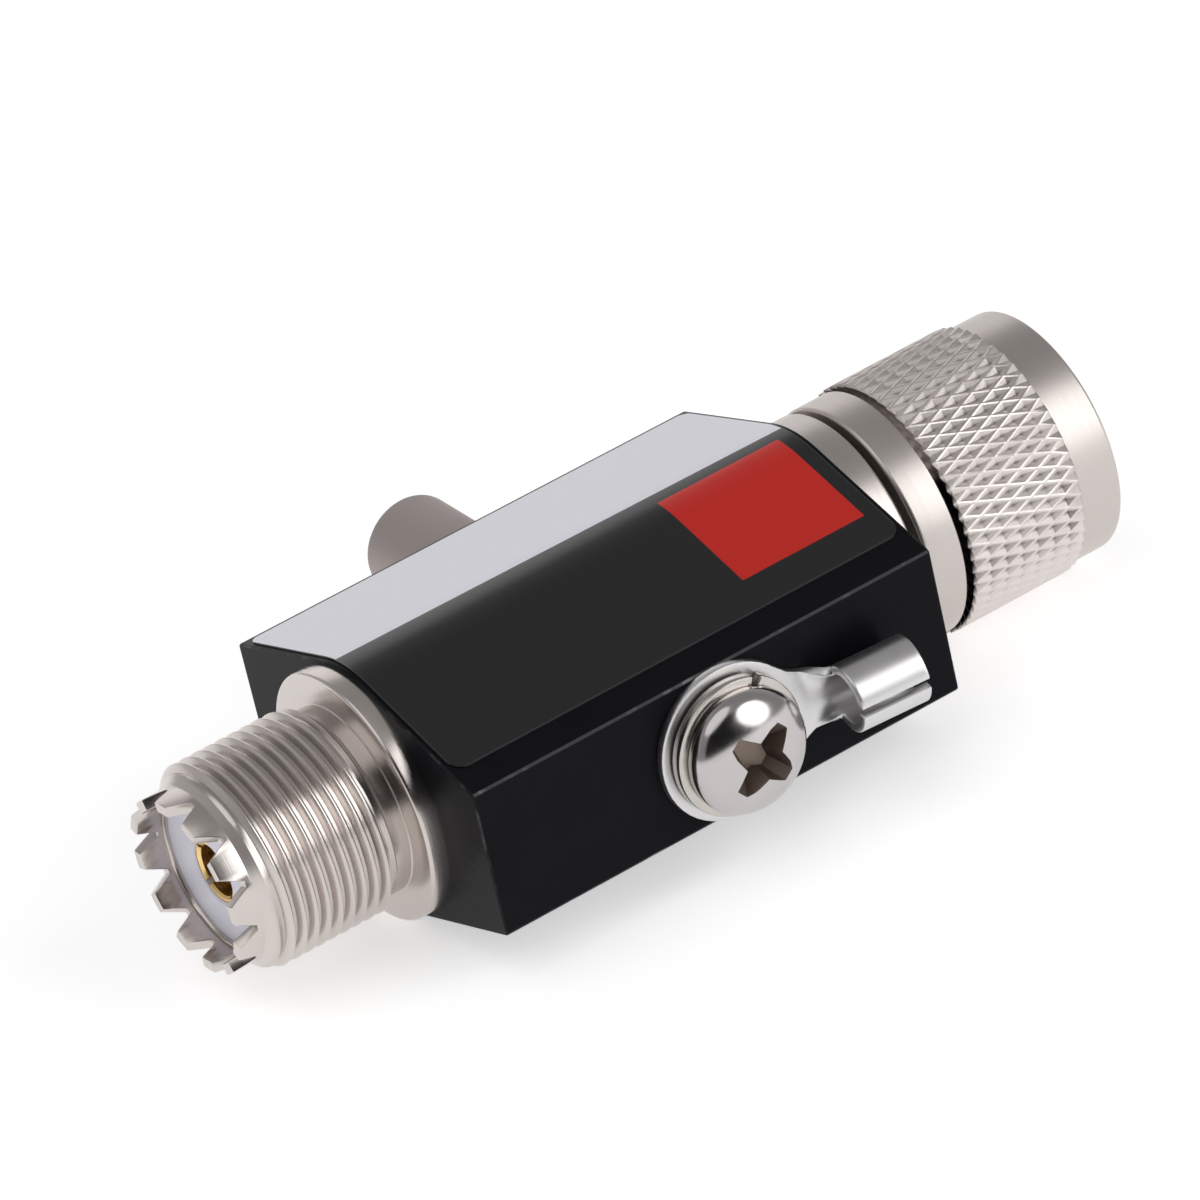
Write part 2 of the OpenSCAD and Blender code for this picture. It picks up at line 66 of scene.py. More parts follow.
class Shade:
    """A socket in a material. Sums with it add Math nodes, and node() adds any other node."""

    def __init__(self, socket):
        self.socket = socket

    def node(self, kind, settings=None, sockets=None, out=0):
        tree = self.socket.id_data
        made = tree.nodes.new("ShaderNode" + kind)
        for name, value in (settings or {}).items():
            setattr(made, name, value)
        for name, value in (sockets or {}).items():
            if isinstance(value, Shade):
                tree.links.new(value.socket, made.inputs[name])
            else:
                made.inputs[name].default_value = value
        return Shade(made.outputs[out])

    def sums(self, operation, *values):
        return self.node("Math", {"operation": operation}, dict(enumerate(values)))

    def __add__(self, other):
        return self.sums("ADD", self, other)

    __radd__ = __add__

    def __sub__(self, other):
        return self.sums("SUBTRACT", self, other)

    def __rsub__(self, other):
        return self.sums("SUBTRACT", other, self)

    def __mul__(self, other):
        return self.sums("MULTIPLY", self, other)

    __rmul__ = __mul__

    def __gt__(self, other):
        return self.sums("GREATER_THAN", self, other)

    def __abs__(self):
        return self.sums("ABSOLUTE", self)

    def least(self, other):
        return self.sums("MINIMUM", self, other)

    def most(self, other):
        return self.sums("MAXIMUM", self, other)

    def root(self):
        return self.sums("SQRT", self)

    def axis(self, name):
        return self.node("SeparateXYZ", None, {"Vector": self}, name)

    def noise(self, scale, detail, stretch=(1, 1, 1)):
        spread = self.node("Mapping", None, {"Vector": self, "Scale": stretch})
        return self.node("TexNoise", None, {"Vector": spread, "Scale": scale, "Detail": detail})

    def between(self, low, high):
        """A smooth step from 0, where this value is low, to 1, where it is high."""
        ends = {"Value": self, "From Min": low, "From Max": high}
        return self.node("MapRange", {"interpolation_type": "SMOOTHSTEP"}, ends)

    def tint(self, first, second):
        """A colour that goes from first, where this value is 0, to second, where it is 1."""
        colours = {"Factor": self, 6: first, 7: second}
        return self.node("Mix", {"data_type": "RGBA"}, colours, 2)

    def relief(self, depth, strength):
        return self.node("Bump", None, {"Height": self, "Distance": depth, "Strength": strength})


def new_finish(name, varying, **constants):
    """A material whose varying sockets come from a function of the piece's own coordinates."""
    material = bpy.data.materials.new(name)
    material.use_nodes = True
    tree = material.node_tree
    surface = tree.nodes["Principled BSDF"]
    for socket, value in constants.items():
        surface.inputs[socket.replace("_", " ")].default_value = value
    place = Shade(tree.nodes.new("ShaderNodeTexCoord").outputs["Object"])
    for socket, value in varying(place).items():
        tree.links.new(value.socket, surface.inputs[socket])
    return material


def merged_copy(node):
    """A CAD node's mesh with its loose triangles joined and its flat faces made whole."""
    bm = bmesh.new()
    bm.from_mesh(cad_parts[node].data)
    bmesh.ops.remove_doubles(bm, verts=bm.verts, dist=1e-6)
    bmesh.ops.dissolve_limit(bm, angle_limit=math.radians(0.3), verts=bm.verts, edges=bm.edges)
    return bm


def break_edges(bm, edges, width):
    """Takes the sharpness off edges, as a file or a tumbling barrel does."""
    bmesh.ops.bevel(
        bm, geom=edges, offset=width, segments=2, profile=0.5,
        affect="EDGES", material=-1, clamp_overlap=True, loop_slide=True,
    )


def corner_edges(bm, angle, wanted=lambda edge: True):
    """The edges where faces meet at more than an angle in degrees."""
    limit = math.radians(angle)
    return [e for e in bm.edges if len(e.link_faces) == 2 and e.calc_face_angle() > limit and wanted(e)]


def dress(bm, name, body, slot, material, *nodes, crease=30):
    """Turns a finished bmesh into a piece that stands for CAD nodes and moves with their body."""
    bmesh.ops.remove_doubles(bm, verts=bm.verts, dist=2e-7)
    bmesh.ops.recalc_face_normals(bm, faces=bm.faces)
    for face in bm.faces:
        face.smooth = True
    for edge in bm.edges:
        edge.smooth = len(edge.link_faces) == 2 and edge.calc_face_angle() < math.radians(crease)
    mesh = bpy.data.meshes.new(name)
    bm.to_mesh(mesh)
    bm.free()
    mesh.materials.append(material)
    piece = bpy.data.objects.new(name, mesh)
    bpy.context.scene.collection.objects.link(piece)
    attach(piece, body)
    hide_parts(*nodes)


mm = 0.001
body_low, body_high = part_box("hex_body")
half_width = body_high.y
ridge_r = body_high.z
flat_half, outline_r, arris_break = 5.8 * mm, 9 * mm, 0.14 * mm
roof_turn = math.atan2(flat_half, half_width) + math.acos(ridge_r / math.hypot(half_width, flat_half))
roof_slope = math.pi / 2 - roof_turn


def anodised(place):
    across, up = abs(place.axis("Y")), abs(place.axis("Z"))
    along = place.axis("X")
    to_end = (along - body_low.x).least(body_high.x - along)
    to_roof = ridge_r - across * math.sin(roof_slope) - up * math.cos(roof_slope)
    to_flat = half_width - across
    to_rim = to_roof.least(to_flat)
    chips = place.noise(700, 4).between(0.5, 0.75)
    sound, bare = 0.19 * mm, 0.08 * mm
    # Painted highlight: the constant share of the arris and end-edge masks lightens every edge; the chips added
    # to it are wear.
    arris = (to_roof + to_flat).between(sound, bare) * (0.16 + 0.4 * chips)
    end_edge = (to_end + to_rim).between(sound, bare) * (0.03 + 0.2 * chips)
    worn_edge_and_highlight = arris.most(end_edge)
    grain = place.noise(7000, 3)
    cloud = place.noise(220, 3)
    colour = cloud.tint((0.0065, 0.0065, 0.0085, 1), (0.009, 0.009, 0.0115, 1))
    return {
        "Base Color": worn_edge_and_highlight.tint(colour, (0.34, 0.34, 0.36, 1)),
        "Metallic": worn_edge_and_highlight,
        "Roughness": 0.22 + 0.06 * cloud + 0.08 * grain,
        "Normal": (grain + 0.5 * cloud).relief(0.008 * mm, 0.4),
    }


black_body = new_finish("anodised_black", anodised, Specular_IOR_Level=0.04)
hull = merged_copy("hex_body")


def on_outline(edge):
    """True for the outer edges of the two end faces, which the bores' rims are not."""
    at_end = [all(abs(v.co.x - x) < 1e-6 for v in edge.verts) for x in (body_low.x, body_high.x)]
    return any(at_end) and all(math.hypot(v.co.y, v.co.z) > outline_r for v in edge.verts)


break_edges(hull, corner_edges(hull, 30, on_outline), arris_break)
dress(hull, "body_block", "arrestor", "black_body", black_body, "hex_body", crease=20)

# Label
# A thin glossy film, stuck over the upper ridge with its corners rounded so that they do not lift.
# It is printed in plain fields: black on the earth side with a red block, silver on the cap side.
label_low, label_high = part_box("body_label")
label_t, label_corner, ink_edge = 0.12 * mm, 1.2 * mm, 0.06 * mm
split_y, split_lean = 1.4 * mm, 0.013
block_x, block_y, block_half_x, block_half_y = -15.37 * mm, -5.17 * mm, 5.3 * mm, 4.96 * mm


def printed(place):
    x, y = place.axis("X"), place.axis("Y")
    fuzz = 0.04 * mm * (place.noise(6000, 2) - 0.5)
    split = split_y - split_lean * (x - label_low.x)
    silver = (y + fuzz - split).between(-ink_edge / 2, ink_edge / 2)
    in_x = abs(x + fuzz - block_x).between(block_half_x, block_half_x - ink_edge)
    in_y = abs(y + fuzz - block_y).between(block_half_y, block_half_y - ink_edge)
    red = in_x * in_y
    to_side = (y - label_low.y).least(label_high.y - y)
    rim = (x - label_low.x).least(label_high.x - x).least(to_side).between(0.12 * mm, 0.05 * mm)
    speck = place.noise(3500, 4)
    dark = speck.tint((0.0035, 0.0035, 0.0045, 1), (0.0055, 0.0055, 0.007, 1))
    foil = speck.tint((0.78, 0.77, 0.84, 1), (0.86, 0.85, 0.92, 1))
    field = silver.tint(red.tint(dark, (0.62, 0.009, 0.001, 1)), foil)
    return {
        "Base Color": rim.tint(field, (0.03, 0.03, 0.034, 1)),
        "Metallic": 0.2 * silver,
        "Roughness": 0.2 + 0.16 * silver + 0.06 * speck,
        "Normal": (place.noise(260, 2) + 0.15 * speck).relief(0.03 * mm, 0.35),
    }


def slice_at(bm, place, way, dist=1e-7, **trim):
    """Cuts the faces of a bmesh along the plane through a place that faces a way."""
    everything = bm.verts[:] + bm.edges[:] + bm.faces[:]
    bmesh.ops.bisect_plane(bm, geom=everything, dist=dist, plane_co=place, plane_no=way, **trim)


label_film = new_finish("label_film", printed, Specular_IOR_Level=0.6)
film = bmesh.new()
middle, size = (label_low + label_high) / 2, label_high - label_low
bmesh.ops.create_grid(film, x_segments=1, y_segments=1, size=0.5)
bmesh.ops.scale(film, vec=(size.x, size.y, 1), verts=film.verts)
bmesh.ops.translate(film, vec=(middle.x, middle.y, 0), verts=film.verts)
bmesh.ops.bevel(
    film, geom=film.verts[:], offset=label_corner, segments=8, profile=0.5, affect="VERTICES", material=-1,
)
ridge_y, ridge_steps = ridge_r * math.cos(roof_turn), 6
for step in range(-ridge_steps, ridge_steps + 1):
    slice_at(film, (0, ridge_y * step / ridge_steps, 0), (0, 1, 0))
for vert in film.verts:
    side = abs(vert.co.y)
    if side < ridge_y:
        vert.co.z = math.sqrt(ridge_r**2 - side**2)
    else:
        vert.co.z = ridge_r * math.sin(roof_turn) - (side - ridge_y) * math.tan(roof_slope)
bmesh.ops.recalc_face_normals(film, faces=film.faces)
if film.faces[0].normal.z < 0:
    bmesh.ops.reverse_faces(film, faces=film.faces)
bmesh.ops.solidify(film, geom=film.faces[:], thickness=-label_t)
dress(film, "label_film", "arrestor", "label_film", label_film, "body_label", crease=40)

# Socket
# The fixed socket is turned from brass and nickel plated: a flange against the body, a relief, a long
# right-hand thread and a crown of twelve teeth that bite into the mating plug. It is pressed into the body.


def nickel(place, tone, low, high, turned="X"):
    """Plating over fine turning marks that run round the given axis."""
    across = {"X": (1, 0.004, 0.004), "Y": (0.004, 1, 0.004)}[turned]
    marks = place.noise(9000, 3, across)
    cloud = place.noise(160, 3)
    lighter = [min(1, c * 1.07) for c in tone]
    return {
        "Base Color": cloud.tint((*tone, 1), (*lighter, 1)),
        "Roughness": low + (high - low) * marks + 0.05 * (cloud - 0.5),
        "Normal": (marks + 0.25 * place.noise(5200, 2)).relief(0.01 * mm, 0.55),
    }


def from_axis(place):
    """Distance from the coax line."""
    y, z = place.axis("Y"), place.axis("Z")
    return (y * y + z * z).root()


def toned(finish, mask, colour):
    """A finish whose colour gives way to another where the mask is 1: here painted light on the knurl and painted
    shade in hollows.
    """
    return {**finish, "Base Color": mask.tint(finish["Base Color"], colour)}


socket_tone, thread_root_shade = (0.59, 0.543, 0.515), (0.2, 0.165, 0.14, 1)


def socket_plate(place):
    x = place.axis("X")
    in_thread = x.between(-50.3 * mm, -50.6 * mm) * x.between(-60.6 * mm, -60.1 * mm)
    # Painted shade: the roots of the thread are given a slightly darker colour.
    root = from_axis(place).between(7.84 * mm, 7.42 * mm) * in_thread
    return toned(nickel(place, socket_tone, 0.2, 0.3), 0.15 * root, thread_root_shade)


socket_nickel = new_finish("socket_nickel", socket_plate, Metallic=1.0)


def loop_of(verts):
    """The edges between some vertices, in a fixed order."""
    chosen = set(verts)
    return list(dict.fromkeys(e for v in verts for e in v.link_edges if e.other_vert(v) in chosen))


def round_place(vert, x, r):
    """Where a vertex lies once it is moved to a place along X and a radius, at its own angle."""
    share = r / math.hypot(vert.co.y, vert.co.z)
    return (x, vert.co.y * share, vert.co.z * share)


def push_out(bm, edges, shape):
    """Extrudes edges and puts each new vertex where shape sends it. Returns the new edges."""
    made = bmesh.ops.extrude_edge_only(bm, edges=edges)["geom"]
    verts = [g for g in made if isinstance(g, bmesh.types.BMVert)]
    for vert in verts:
        vert.co = shape(vert)
    return loop_of(verts)


def grow(bm, loop, *stations):
    """Extrudes a ring of edges through stations of place along X and radius, in mm. Returns the last ring."""
    for x, r in stations:
        loop = push_out(bm, loop, lambda vert: round_place(vert, x * mm, r * mm))
    return loop


def rounded(x, r, radius, start, end, steps=4):
    """Stations round an edge whose centre is at x and r, from one angle to another in degrees."""
    turns = [math.radians(start + (end - start) * k / steps) for k in range(steps + 1)]
    return [(x + radius * math.cos(a), r + radius * math.sin(a)) for a in turns]


def wind_thread(bm, x0, x1, pitch, flank, trim):
    """Winds a thread's profile along X between two places, trims its radius and returns its end rings."""
    steps = 72
    turns = math.ceil((x1 - x0) / pitch) + 3
    start = x0 - 1.5 * pitch
    line = [bm.verts.new(((start + x * pitch) * mm, r * mm, 0)) for x, r in flank]
    edges = [bm.edges.new(pair) for pair in zip(line, line[1:])]
    bmesh.ops.spin(
        bm, geom=line + edges, cent=(0, 0, 0), axis=(1, 0, 0), dvec=(pitch * mm / steps, 0, 0),
        angle=2 * math.pi * turns, steps=steps * turns,
    )
    bmesh.ops.remove_doubles(bm, verts=bm.verts, dist=0.004 * mm)
    for vert in bm.verts:
        r = trim(vert.co.x / mm, math.hypot(vert.co.y, vert.co.z) / mm)
        vert.co = round_place(vert, vert.co.x, r * mm)
    rings = []
    for end, way in ((x0 * mm, -1), (x1 * mm, 1)):
        slice_at(bm, (end, 0, 0), (way, 0, 0), dist=1e-8, clear_outer=True)
        rings.append([e for e in bm.edges if e.is_boundary and all(abs(v.co.x - end) < 1e-7 for v in e.verts)])
    return rings


pitch, root_r, crest_r, crest_break = 1.0, 7.36, 7.94, 0.05
thread_x0, thread_x1, runout_x, relief_r = -60.9, -50.25, -50.3, 7.2
crown_x, crown_r, crown_bore = -60.99, 6.75, 5.9
bead_x, spigot_x, spigot_r = -42.7, -41.5, 8.0
flange_x0, flange_x1, flange_r, flange_edge = -49.0, -47.5, 9.6, 0.25
thread_flank = [
    (0.0, root_r), (0.11, root_r), (0.4, crest_r - crest_break), (0.455, crest_r),
    (0.545, crest_r), (0.6, crest_r - crest_break), (0.89, root_r), (1.0, root_r),
]
socket = bmesh.new()
front_ring, rear_ring = wind_thread(
    socket, thread_x0, thread_x1, pitch, thread_flank,
    lambda x, r: min(r, crown_r + max(0, x - crown_x), relief_r + max(0, runout_x - x) * 1.1),
)
teeth, tooth_turn, gap_x, tooth_h = 12, -4, -61.5, 1.6
tooth_step, tooth_foot, tooth_top = 360 / teeth, 13.2, 6.0
tooth_marks = [-tooth_foot, -9.6, -tooth_top, -2, 2, tooth_top, 9.6, tooth_foot]
crown = bmesh.ops.create_circle(socket, cap_ends=False, radius=1, segments=teeth * len(tooth_marks))["verts"]
for k, vert in enumerate(crown):
    turn = math.radians(tooth_turn + tooth_step * (k // len(tooth_marks)) + tooth_marks[k % len(tooth_marks)])
    vert.co = Vector((crown_x, crown_r * math.cos(turn), crown_r * math.sin(turn))) * mm
base_ring = loop_of(crown)


def tooth_ring(loop, r):
    """Extrudes a ring into the crown's outline at a radius."""

    def tooth_place(vert):
        turn = math.degrees(math.atan2(vert.co.z, vert.co.y)) - tooth_turn
        off = (turn + tooth_step / 2) % tooth_step - tooth_step / 2
        lift = min(1, max(0, (tooth_foot - abs(off)) / (tooth_foot - tooth_top)))
        return round_place(vert, (gap_x - tooth_h * lift) * mm, r * mm)

    return push_out(socket, loop, tooth_place)


outer_rim = tooth_ring(base_ring, crown_r)
inner_rim = tooth_ring(outer_rim, crown_bore)
last_ring = grow(
    socket, inner_rim,
    (-61.0, crown_bore), (-61.07, 5.83), (-61.1, 5.72), (-61.05, 5.62), (-60.92, 5.56), (-60.77, 5.56),
    (-60.77, crown_bore), (bead_x, crown_bore), (bead_x, 5.0), (spigot_x, 5.0), (spigot_x, spigot_r),
    (flange_x1, spigot_r), (flange_x1, flange_r),
    *rounded(flange_x0 + flange_edge, flange_r - flange_edge, flange_edge, 90, 180),
    (flange_x0, relief_r + 0.1), (flange_x0 - 0.08, relief_r), (-50.1, relief_r),
)
bmesh.ops.bridge_loops(socket, edges=base_ring + front_ring)
bmesh.ops.bridge_loops(socket, edges=last_ring + rear_ring)
break_edges(socket, [e for e in outer_rim + inner_rim if e.is_valid], 0.09 * mm)
dress(socket, "threaded_socket", "arrestor", "nickel", socket_nickel, "socket_shell", crease=32)

# Insulators
# Two plugs of white fluoropolymer, turned to a smooth face, hold the centre line in the socket and the plug.
# They are a press fit, and their faces stand back from the metal round them.


def fluoropolymer(place):
    cloud = place.noise(420, 3)
    marks = place.noise(6000, 2, (0.02, 1, 1))
    return {
        "Base Color": cloud.tint((0.72, 0.705, 0.8, 1), (0.8, 0.785, 0.87, 1)),
        "Roughness": 0.34 + 0.12 * marks,
        "Normal": marks.relief(0.006 * mm, 0.5),
    }


def spun(bm, profile, steps=96):
    """Spins a closed line of place along X and radius, in mm, once round the coax line."""
    line = [bm.verts.new((x * mm, r * mm, 0)) for x, r in profile]
    edges = [bm.edges.new(pair) for pair in zip(line, line[1:] + line[:1])]
    bmesh.ops.spin(
        bm, geom=line + edges, cent=(0, 0, 0), axis=(1, 0, 0), angle=2 * math.pi, steps=steps, use_merge=True,
    )
    bmesh.ops.remove_doubles(bm, verts=bm.verts, dist=1e-6)
    bmesh.ops.delete(bm, geom=[e for e in bm.edges if e.is_wire], context="EDGES")


white_insulator = new_finish("white_insulator", fluoropolymer, Subsurface_Weight=0.12, Subsurface_Scale=0.0008)
seat_x, face_x, bead_r, bead_bore = -42.71, -60.75, 5.89, 2.36
bead = bmesh.new()
spun(bead, [
    (seat_x, bead_bore), (seat_x, bead_r), (face_x + 0.15, bead_r), (face_x, bead_r - 0.15),
    (face_x, bead_bore + 0.14), (face_x + 0.12, bead_bore),
])
dress(bead, "socket_bead", "arrestor", "insulator", white_insulator, "socket_insulator")
seat_x, face_x, bead_r, bead_bore = -13.29, -0.4, 5.49, 2.24
bead = bmesh.new()
spun(bead, [
    (seat_x, bead_bore), (seat_x, bead_r), (face_x - 0.1, bead_r), (face_x, bead_r - 0.1),
    (face_x, bead_bore + 0.12), (face_x - 0.1, bead_bore),
])
dress(bead, "plug_bead", "arrestor", "insulator", white_insulator, "plug_insulator")

# Centre line
# The socket's contact is a gold plated tube slit into four spring fingers, the plug's pin is nickel plated,
# and a rod of bare brass with a flat for the gas tube joins them inside the body.


def gilded(place):
    cloud, marks = place.noise(700, 3), place.noise(9000, 2, (1, 0.01, 0.01))
    return {
        "Base Color": cloud.tint((0.78, 0.53, 0.2, 1), (0.9, 0.66, 0.3, 1)),
        "Roughness": 0.2 + 0.12 * marks,
        "Normal": marks.relief(0.006 * mm, 0.4),
    }


def bare_brass(place):
    cloud, marks = place.noise(500, 4), place.noise(6000, 3, (1, 0.01, 0.01))
    return {
        "Base Color": cloud.tint((0.55, 0.38, 0.15, 1), (0.7, 0.52, 0.24, 1)),
        "Roughness": 0.26 + 0.2 * marks,
        "Normal": marks.relief(0.01 * mm, 0.5),
    }


def paint(node, material):
    """Gives its finish to a CAD node that is shown as it is."""
    node_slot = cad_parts[node].material_slots[0]
    node_slot.link = "OBJECT"
    node_slot.material = material


nickel_tone = (0.55, 0.505, 0.48)
gold = new_finish("gold_plate", gilded, Metallic=1.0)
brass = new_finish("bare_brass", bare_brass, Metallic=1.0)
bright_nickel = new_finish("bright_nickel", lambda p: nickel(p, nickel_tone, 0.12, 0.22), Metallic=1.0)
contact = merged_copy("socket_contact")
contact_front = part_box("socket_contact")[0].x
flare_l, inner_r, flare_r = 0.5 * mm, 2.1 * mm, 2.22 * mm
slice_at(contact, (contact_front + flare_l, 0, 0), (1, 0, 0))


def at_mouth(vert):
    return vert.co.x < contact_front + 0.01 * mm


for vert in contact.verts:
    if at_mouth(vert) and math.hypot(vert.co.y, vert.co.z) < inner_r:
        vert.co = round_place(vert, vert.co.x, flare_r)
break_edges(contact, corner_edges(contact, 40, lambda e: all(at_mouth(v) for v in e.verts)), 0.03 * mm)
dress(contact, "contact_fingers", "arrestor", "gold", gold, "socket_contact")
pin = bmesh.new()
pin_r, tail_r, stem_r = 1.98, 1.2, 2.23
spun(pin, [
    (-18.4, 0), (-18.4, tail_r), (-14.5, tail_r), (-14.5, stem_r), (-0.5, stem_r), (-0.4, stem_r - 0.1),
    (-0.4, pin_r), (9.0, pin_r),
    (9.35, 1.93), (9.65, 1.77), (9.93, 1.5), (10.15, 1.17), (10.3, 0.8), (10.38, 0.4), (10.4, 0),
])
dress(pin, "centre_pin", "arrestor", "nickel", bright_nickel, "plug_pin")
paint("centre_conductor", brass)

# Plug
# The plug's shell is turned and nickel plated like the socket: a collar against the body and a thin nose
# with four lugs. A split ring of spring wire in the nose's groove keeps the coupling nut on.


def springy(place):
    cloud, scratch = place.noise(900, 4), place.noise(4000, 2, (0.1, 1, 1))
    return {
        "Base Color": cloud.tint((0.42, 0.42, 0.43, 1), (0.56, 0.55, 0.54, 1)),
        "Roughness": 0.22 + 0.2 * scratch,
        "Normal": scratch.relief(0.006 * mm, 0.5),
    }


spring_steel = new_finish("spring_steel", springy, Metallic=1.0)
satin_nickel = new_finish("satin_nickel", lambda p: nickel(p, nickel_tone, 0.3, 0.42), Metallic=1.0)
nose = merged_copy("plug_shell")
plug_break = 0.06 * mm
break_edges(nose, corner_edges(nose, 40, lambda e: all(v.co.x > -0.01 * mm for v in e.verts)), plug_break)
dress(nose, "plug_nose", "arrestor", "nickel", satin_nickel, "plug_shell")
circlip = merged_copy("retaining_ring")
break_edges(circlip, corner_edges(circlip, 40), plug_break)
dress(circlip, "nut_circlip", "arrestor", "spring_steel", spring_steel, "retaining_ring")

# Coupling nut
# A nickel plated nut that runs freely on the plug: a plain band, a groove, a diamond knurl pressed in by two
# wheels so that raised ridges cross round sunk pits, another plain band, and the thread cut inside.
around, rows, knurl_x0, knurl_x1, knurl_turn = 112, 7, -1.95, 7.9, 4.2
knurl_r, pit, ridge_break, end_slope = 9.92, 0.38, 0.14, 0.86
groove_x, groove_r, rear_x, rear_r, front_x, band_r, nut_edge = -2.6, 8.8, -5.5, 9.58, 11.4, 9.5, 0.3
lip_x, lip_bore, run_bore, mouth_r = -3.55, 6.66, 8.06, 8.0
knurl_painted_light, pit_painted_shade, groove_painted_shade = (0.69, 0.64, 0.615, 1), (0.13, 0.115, 0.105, 1), (0.02, 0.018, 0.016, 1)


def nut_plate(place):
    x, r = place.axis("X"), from_axis(place)
    knurl = x.between(-1.95 * mm, -1.9 * mm) * x.between(7.9 * mm, 7.6 * mm) * r.between(9.4 * mm, 9.5 * mm)
    pits = r.between(9.72 * mm, 9.54 * mm) * x.between(-1.9 * mm, -1.6 * mm) * x.between(7.6 * mm, 7.2 * mm)
    groove = abs(x + 2.27 * mm).between(0.46 * mm, 0.34 * mm) * r.between(9.95 * mm, 9.55 * mm)
    below = place.axis("Z").between(6.2 * mm, 4.8 * mm)
    # Painted light: the knurl is given a lighter tone than the plain bands, for the light its facets catch.
    finish = toned(nickel(place, nickel_tone, 0.32, 0.44), knurl, knurl_painted_light)
    # Painted shade: the knurl's sunk pits are darkened.
    finish = toned(finish, 0.65 * pits, pit_painted_shade)
    # Painted shade: the groove behind the knurl is made nearly black, on its lower side only.
    return toned(finish, 0.95 * groove * below, groove_painted_shade)


nut_nickel = new_finish("nut_nickel", nut_plate, Metallic=1.0)
nut = bmesh.new()
bmesh.ops.create_grid(nut, x_segments=around, y_segments=rows, size=1)
crest = nut.verts.layers.int.new("crest")
cells = {v: (round((v.co.x + 1) / 2 * around), round((v.co.y + 1) / 2 * rows)) for v in nut.verts}
for vert, (step, row) in cells.items():
    vert[crest] = (step + row) % 2 == 0
bmesh.ops.connect_verts(nut, verts=[v for v in nut.verts if v[crest]])
for vert, (step, row) in cells.items():
    turn = math.radians(180 - knurl_turn - 360 * step / around)
    r = knurl_r if vert[crest] else band_r if row == rows else knurl_r - pit
    x = knurl_x0 + (knurl_x1 - knurl_x0) * row / rows
    x -= end_slope * (r - band_r) if row == rows else 0
    vert.co = Vector((x, r * math.cos(turn), r * math.sin(turn))) * mm
bmesh.ops.remove_doubles(nut, verts=nut.verts, dist=1e-6)
break_edges(nut, [e for e in nut.edges if all(v[crest] for v in e.verts)], ridge_break * mm)
knurl_rear = [e for e in nut.edges if e.is_boundary and sum(v.co.x for v in e.verts) < 0]
knurl_front = [e for e in nut.edges if e.is_boundary and sum(v.co.x for v in e.verts) > 0]
lip_ring = grow(
    nut, knurl_rear,
    (knurl_x0, groove_r), (groove_x, groove_r), (groove_x, rear_r - 0.06), (groove_x - 0.06, rear_r),
    *rounded(rear_x + nut_edge, rear_r - nut_edge, nut_edge, 90, 180, 7),
    (rear_x, lip_bore + 0.06), (rear_x + 0.06, lip_bore), (lip_x, lip_bore), (lip_x, run_bore), (-1.15, run_bore),
)
front_edge = grow(
    nut, knurl_front,
    (knurl_x1 + 0.02, band_r), (knurl_x1 + 0.1, band_r),
    *rounded(front_x - nut_edge, band_r - nut_edge, nut_edge, 90, 0, 7),
    (front_x, mouth_r + 0.16), (front_x - 0.15, mouth_r),
)
inside = bmesh.new()
inner_root, inner_crest, inner_x0, inner_x1 = 7.94, 7.46, -0.95, 11.2
inner_flank = [
    (0.0, inner_root), (0.09, inner_root), (0.42, inner_crest),
    (0.58, inner_crest), (0.91, inner_root), (1.0, inner_root),
]
wind_thread(
    inside, inner_x0, inner_x1, pitch, inner_flank,
    lambda x, r: max(r, inner_crest + max(0, x - 10.7), inner_root - max(0, x + 0.9) * 1.2),
)
inner_mesh = bpy.data.meshes.new("nut_thread")
inside.to_mesh(inner_mesh)
inside.free()
nut.from_mesh(inner_mesh)
bpy.data.meshes.remove(inner_mesh)
thread_ends = [e for e in nut.edges if e.is_boundary and e not in lip_ring and e not in front_edge]
bmesh.ops.bridge_loops(nut, edges=lip_ring + [e for e in thread_ends if e.verts[0].co.x < 0])
bmesh.ops.bridge_loops(nut, edges=front_edge + [e for e in thread_ends if e.verts[0].co.x > 0])
dress(nut, "knurled_nut", "nut", "nickel", nut_nickel, "coupling_nut", crease=14)

# Gas tube and cap
# The tube is a ceramic ring between two plated metal electrodes, pressed on the centre line by a coil spring.
# The cap that holds them is turned, nickel plated and slotted, and screws into the far flat.


def fired_clay(place):
    grain = place.noise(2600, 4)
    return {
        "Base Color": grain.tint((0.72, 0.69, 0.64, 1), (0.84, 0.81, 0.77, 1)),
        "Roughness": 0.45 + 0.2 * grain,
        "Normal": grain.relief(0.01 * mm, 0.5),
    }


def coiled_wire(place):
    cloud, drawn = place.noise(1200, 4), place.noise(5200, 2, (1, 0.2, 1))
    return {
        "Base Color": cloud.tint((0.4, 0.4, 0.41, 1), (0.55, 0.54, 0.53, 1)),
        "Roughness": 0.2 + 0.2 * drawn,
        "Normal": drawn.relief(0.005 * mm, 0.5),
    }


ceramic = new_finish("tube_ceramic", fired_clay)
cap_nickel = new_finish("cap_nickel", lambda p: nickel(p, (0.46, 0.41, 0.395), 0.6, 0.72, "Y"), Metallic=1.0)
wire = new_finish("coiled_wire", coiled_wire, Metallic=1.0)
paint("tube_ceramic", ceramic)
paint("tube_inner_electrode", cap_nickel)
paint("tube_outer_electrode", cap_nickel)
paint("contact_spring", wire)


